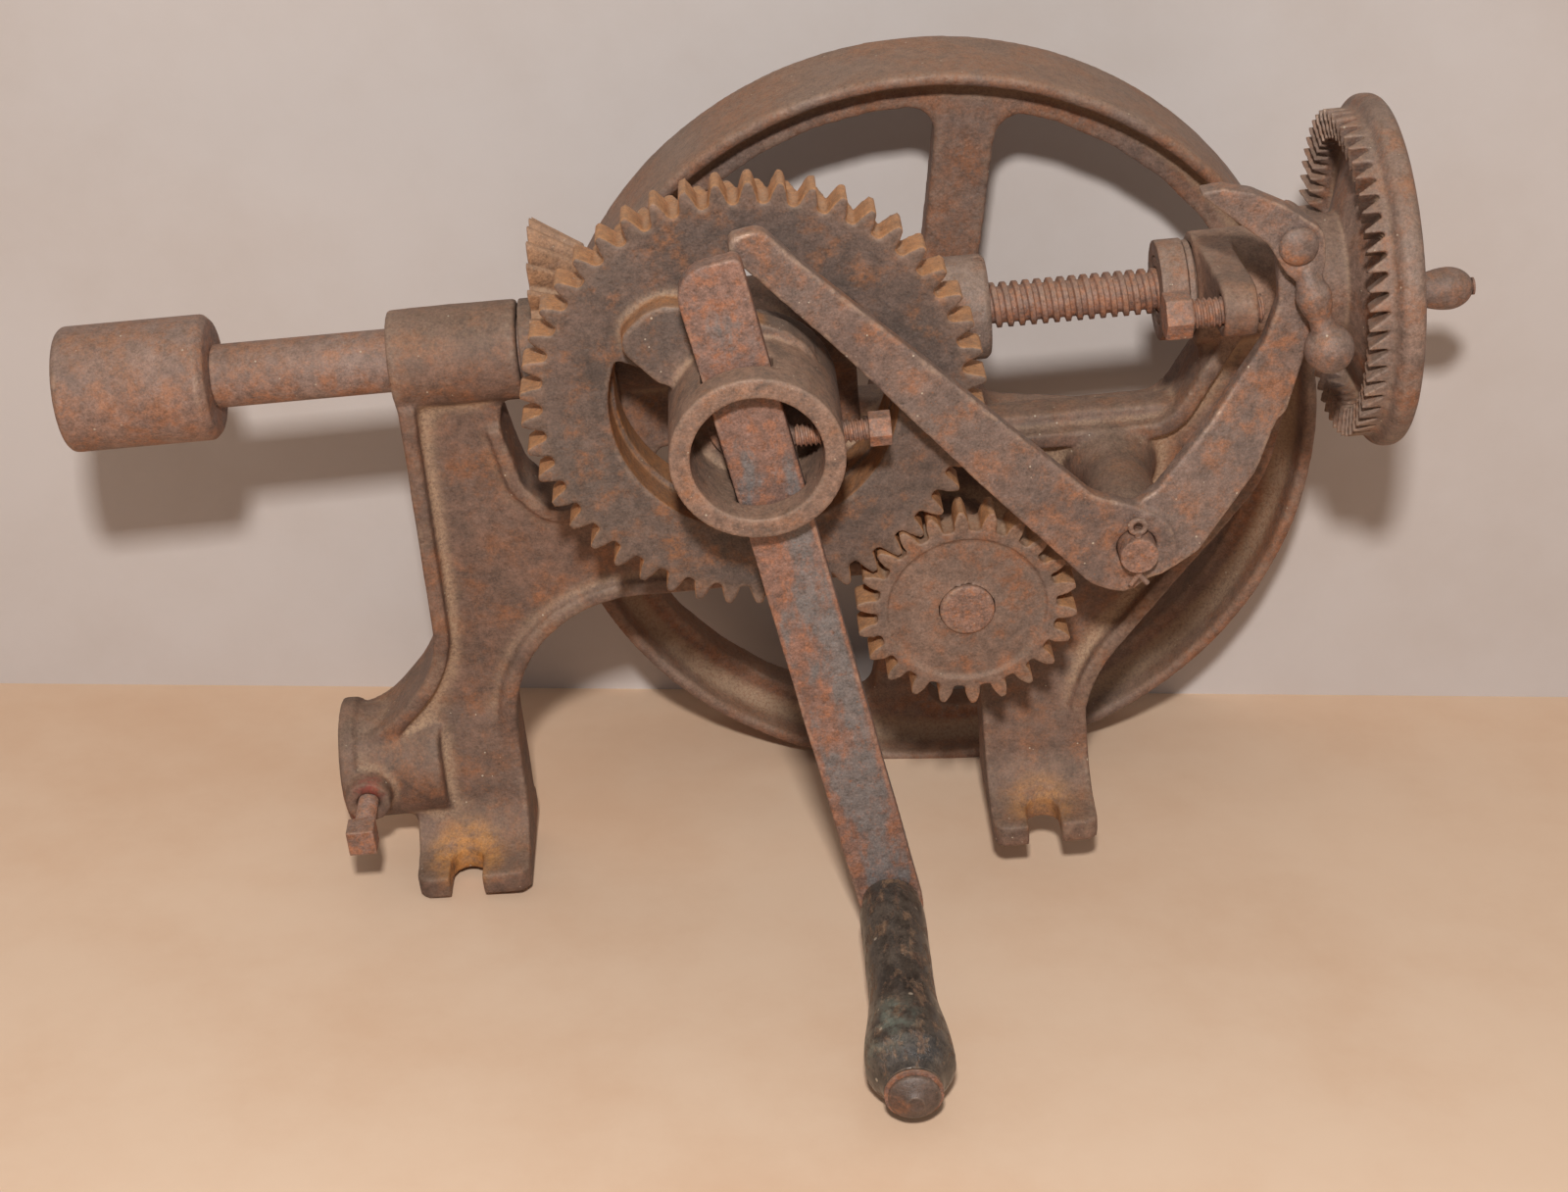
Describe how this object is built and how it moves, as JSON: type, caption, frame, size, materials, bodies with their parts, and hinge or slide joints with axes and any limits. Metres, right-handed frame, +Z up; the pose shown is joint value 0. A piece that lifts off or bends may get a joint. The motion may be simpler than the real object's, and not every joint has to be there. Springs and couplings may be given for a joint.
{
  "type": "post drill",
  "caption": "Hand-cranked post drill: geared crank and flywheel, bevel-driven spindle with drill socket, and a cam, lever and pawl screw feed on a cast frame.",
  "frame": {"origin": "on the post face, midway between the two foot slots, in the plane of the spindle", "axes": "X to the crank side, Y into the post, Z up along the spindle"},
  "size_m": [0.4003, 0.3935, 0.6329],
  "materials": {
    "frame_iron": "old cast iron under a thin brown rust patina",
    "gear_iron": "cast iron, orange rust on the tooth flanks",
    "wheel_iron": "cast iron with brown rust",
    "bearing_iron": "turned cast iron, grey brown",
    "steel": "dull brown steel",
    "rusty_steel": "rusted steel",
    "bar_steel": "flat steel, grey with brown rust patches",
    "lever_steel": "worn brown malleable iron",
    "grip_wood": "worn black painted wood"
  },
  "bodies": {
    "frame": {"frame_casting": "frame_iron", "arm_set_screw": "rusty_steel", "lever_pivot_pin": "steel", "lever_split_pin": "steel", "adjusting_screw": "rusty_steel", "feed_bushing": "bearing_iron", "crank_stud": "steel", "stud_washer": "steel", "stud_split_pin": "steel"},
    "crank": {"crank_gear": "gear_iron", "bar_set_screw": "rusty_steel"},
    "crank_arm": {"crank_bar": "bar_steel", "grip_bolt": "rusty_steel", "grip_washer": "rusty_steel"},
    "grip": {"crank_grip": "grip_wood"},
    "flywheel_train": {"flywheel": "wheel_iron", "flywheel_shaft": "steel", "flywheel_key": "steel", "pinion": "gear_iron"},
    "bevel_drive": {"bevel_gear": "gear_iron", "bevel_key": "steel"},
    "spindle_train": {"spindle": "rusty_steel", "thrust_collar": "steel", "chuck": "bearing_iron", "chuck_set_screw": "rusty_steel"},
    "screw_train": {"feed_screw": "rusty_steel", "thrust_head": "bearing_iron", "thrust_pin": "steel"},
    "wheel_train": {"feed_wheel": "wheel_iron", "retaining_collar": "bearing_iron", "knob_stud": "rusty_steel"},
    "knob": {"wheel_knob": "rusty_steel"},
    "lever": {"feed_lever": "lever_steel", "pawl_rivet": "rusty_steel"},
    "pawl": {"feed_pawl": "lever_steel"}
  },
  "joints": [
    {"name": "crank_turn", "type": "hinge", "parent": "frame", "child": "crank", "pos_m": [0.06, -0.254, 0.02], "axis": [1, 0, 0], "continuous": true},
    {"name": "bar_slide", "type": "slide", "parent": "crank", "child": "crank_arm", "axis": [0, 0.9859, 0.1676], "range_m": [-0.01, 0.01]},
    {"name": "grip_spin", "type": "hinge", "parent": "crank_arm", "child": "grip", "pos_m": [0.178, -0.02134, 0.05956], "axis": [1, 0, 0], "continuous": true},
    {"name": "flywheel_turn", "type": "hinge", "parent": "frame", "child": "flywheel_train", "pos_m": [-0.11, -0.14498, 0.1037], "axis": [1, 0, 0], "continuous": true},
    {"name": "spindle_turn", "type": "hinge", "parent": "frame", "child": "bevel_drive", "pos_m": [0, -0.254, -0.07], "axis": [0, 0, 1], "continuous": true},
    {"name": "spindle_feed", "type": "slide", "parent": "bevel_drive", "child": "spindle_train", "axis": [0, 0, 1], "range_m": [0, 0.07]},
    {"name": "screw_feed", "type": "slide", "parent": "frame", "child": "screw_train", "axis": [0, 0, 1], "range_m": [0, 0.07]},
    {"name": "feed_wheel_turn", "type": "hinge", "parent": "frame", "child": "wheel_train", "pos_m": [0, -0.254, 0.29], "axis": [0, 0, 1], "range_deg": [-4960, 0]},
    {"name": "knob_spin", "type": "hinge", "parent": "wheel_train", "child": "knob", "pos_m": [-0.04073, -0.22331, 0.328], "axis": [0, 0, 1], "continuous": true},
    {"name": "lever_rock", "type": "hinge", "parent": "frame", "child": "lever", "pos_m": [0.085, -0.1773, 0.1757], "axis": [1, 0, 0], "range_deg": [-4, 0]},
    {"name": "pawl_tip", "type": "hinge", "parent": "lever", "child": "pawl", "pos_m": [0.0818, -0.307, 0.243], "axis": [1, 0, 0], "range_deg": [0, 164]}
  ],
  "couplings": [
    {"joint": "flywheel_turn", "follows": "crank_turn", "ratio": -2.0909},
    {"joint": "spindle_turn", "follows": "crank_turn", "ratio": 1.7308},
    {"joint": "spindle_feed", "follows": "feed_wheel_turn", "m_per_rad": -0.00080851},
    {"joint": "screw_feed", "follows": "feed_wheel_turn", "m_per_rad": -0.00080851}
  ]
}
